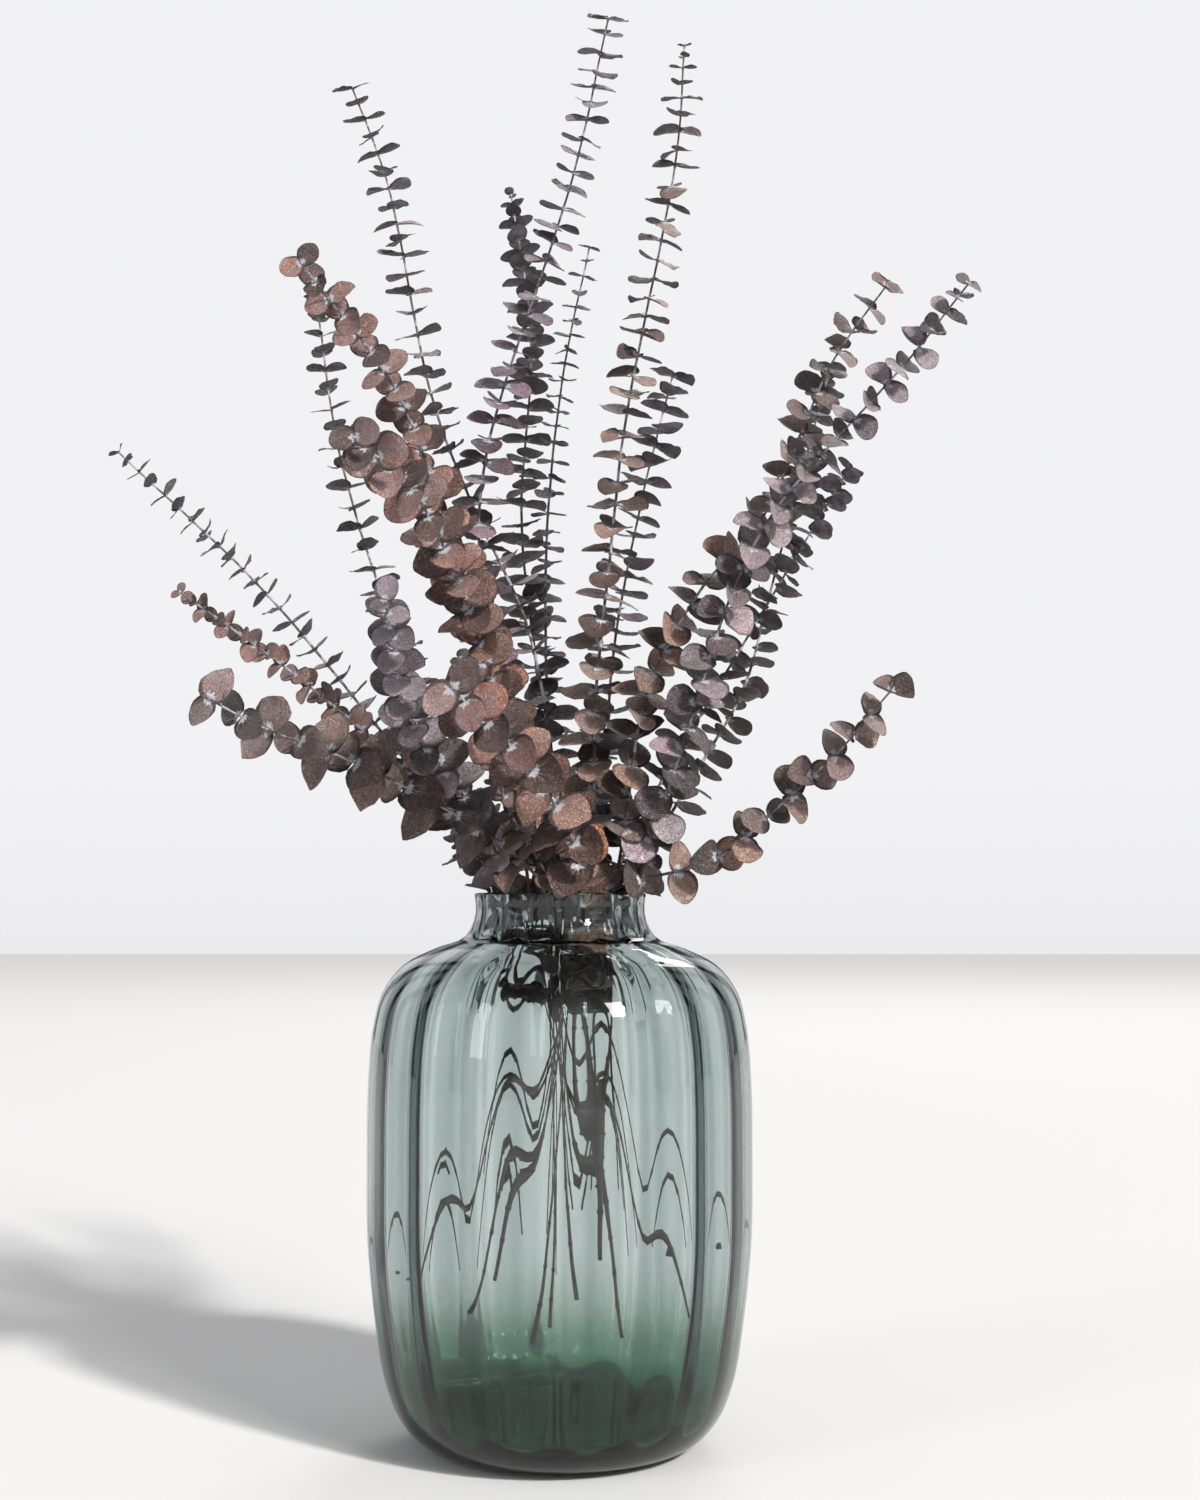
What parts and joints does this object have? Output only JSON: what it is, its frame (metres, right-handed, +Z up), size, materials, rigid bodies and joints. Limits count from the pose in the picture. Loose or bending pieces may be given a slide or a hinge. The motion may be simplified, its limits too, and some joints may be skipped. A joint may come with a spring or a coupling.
{
  "type": "dried eucalyptus branches in a glass vase",
  "caption": "Dried round-leaved eucalyptus branches fanning out of a tall ribbed green glass vase with a short neck.",
  "frame": {"origin": "centre of the vase's foot, on the surface it stands on", "axes": "+Z up along the vase's axis, -Y towards the side that the picture shows, +X to its right"},
  "size_m": [0.6013, 0.5157, 1.0113],
  "materials": {
    "glass": "clear blue-green glass, ribbed inside, darker where it is thick",
    "leaf_rust": "dry, copper brown, with a faint waxy sheen",
    "leaf_plum": "dry, dark plum grey, with pale bloom at the leaf roots",
    "leaf_mauve": "dry, silvery mauve grey, with a waxy bloom",
    "leaf_brown": "dry, grey brown and matt"
  },
  "bodies": {
    "root": {"vase": "glass", "branch_low_left": "leaf_brown", "branch_low_right": "leaf_brown", "branch_front_centre": "leaf_rust", "branch_brown_front": "leaf_rust", "branch_rosette_front": "leaf_rust", "branch_silver_front": "leaf_mauve", "branch_tall_right": "leaf_brown", "branch_tall_centre": "leaf_plum", "branch_tall_left": "leaf_mauve", "branch_right_inner": "leaf_brown", "branch_right_outer": "leaf_mauve", "branch_right_back": "leaf_plum", "branch_far_left_high": "leaf_mauve", "branch_far_left_low": "leaf_rust", "branch_slim_left": "leaf_brown", "branch_right_centre": "leaf_plum", "branch_plum_centre": "leaf_plum", "branch_slim_centre": "leaf_plum", "branch_right_slim": "leaf_brown", "branch_small_front": "leaf_brown"}
  },
  "joints": []
}
